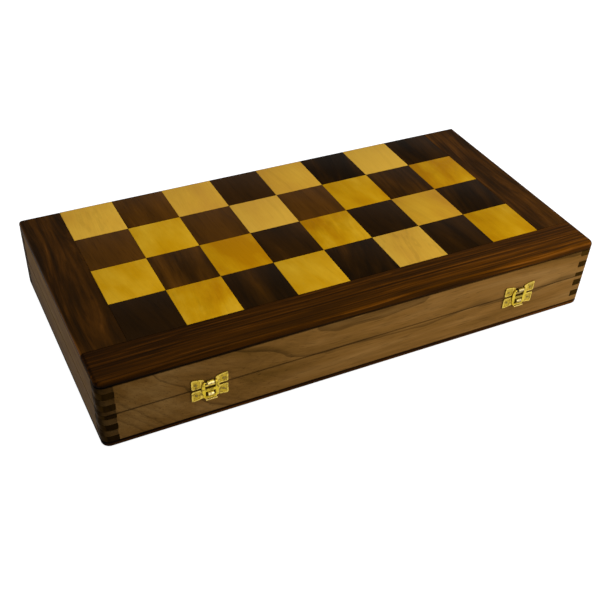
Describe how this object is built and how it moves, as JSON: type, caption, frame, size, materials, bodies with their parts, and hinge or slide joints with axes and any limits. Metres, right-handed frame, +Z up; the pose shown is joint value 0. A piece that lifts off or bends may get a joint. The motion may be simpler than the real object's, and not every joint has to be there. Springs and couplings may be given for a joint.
{
  "type": "folding chess board",
  "caption": "Flat wooden box of two hinged halves with light and dark squares outside, box-jointed corners and brass clasps; it opens flat into a game board.",
  "frame": {"origin": "middle of the underside of the closed box", "axes": "+X along the long side, +Y towards the hinged back, +Z up out of the lid's squares"},
  "size_m": [0.4572, 0.2358, 0.068],
  "materials": {
    "light_squares": "satin varnish on golden wood",
    "dark_squares": "satin varnish on dark brown wood",
    "border_wood": "satin varnish on red-brown striped wood",
    "front_wall_wood": "satin varnish on mid brown wood",
    "side_wall_wood": "satin varnish on grey-brown wood",
    "core_board": "plain board",
    "lining": "felt",
    "brass": "bright plated",
    "fastener_brass": "plain"
  },
  "bodies": {
    "tray": {"left_clasp_catch": "brass", "left_clasp_catch_nail_1": "fastener_brass", "left_clasp_catch_nail_2": "fastener_brass", "left_hinge_pin": "fastener_brass", "left_hinge_tray_leaf": "brass", "left_hinge_tray_screw_1": "fastener_brass", "left_hinge_tray_screw_2": "fastener_brass", "right_clasp_catch": "brass", "right_clasp_catch_nail_1": "fastener_brass", "right_clasp_catch_nail_2": "fastener_brass", "right_hinge_pin": "fastener_brass", "right_hinge_tray_leaf": "brass", "right_hinge_tray_screw_1": "fastener_brass", "right_hinge_tray_screw_2": "fastener_brass", "tray_back_wall": "side_wall_wood", "tray_core": "core_board", "tray_front_border": "border_wood", "tray_front_wall": "front_wall_wood", "tray_left_border": "border_wood", "tray_left_wall": "side_wall_wood", "tray_lining": "lining", "tray_right_border": "border_wood", "tray_right_wall": "side_wall_wood", "tray_squares_row_1": "dark_squares", "tray_squares_row_2": "light_squares", "tray_squares_row_3": "dark_squares", "tray_squares_row_4": "light_squares"},
    "lid": {"left_clasp_plate": "brass", "left_clasp_plate_nail_1": "fastener_brass", "left_clasp_plate_nail_2": "fastener_brass", "left_hinge_lid_leaf": "brass", "left_hinge_lid_screw_1": "fastener_brass", "left_hinge_lid_screw_2": "fastener_brass", "lid_back_wall": "side_wall_wood", "lid_core": "core_board", "lid_front_border": "border_wood", "lid_front_wall": "front_wall_wood", "lid_left_border": "border_wood", "lid_left_wall": "side_wall_wood", "lid_lining": "lining", "lid_right_border": "border_wood", "lid_right_wall": "side_wall_wood", "lid_squares_row_1": "light_squares", "lid_squares_row_2": "dark_squares", "lid_squares_row_3": "light_squares", "lid_squares_row_4": "dark_squares", "right_clasp_plate": "brass", "right_clasp_plate_nail_1": "fastener_brass", "right_clasp_plate_nail_2": "fastener_brass", "right_hinge_lid_leaf": "brass", "right_hinge_lid_screw_1": "fastener_brass", "right_hinge_lid_screw_2": "fastener_brass"},
    "left_hasp": {"left_clasp_hasp": "brass"},
    "right_hasp": {"right_clasp_hasp": "brass"}
  },
  "joints": [
    {"name": "board_fold", "type": "hinge", "parent": "tray", "child": "lid", "pos_m": [0, 0.1146, 0.034], "axis": [-1, 0, 0], "range_deg": [0, 180]},
    {"name": "left_hasp_swing", "type": "hinge", "parent": "lid", "child": "left_hasp", "pos_m": [-0.1411, -0.1164, 0.0399], "axis": [-1, 0, 0], "range_deg": [0, 165]},
    {"name": "right_hasp_swing", "type": "hinge", "parent": "lid", "child": "right_hasp", "pos_m": [0.1516, -0.1164, 0.0399], "axis": [-1, 0, 0], "range_deg": [0, 165]}
  ]
}
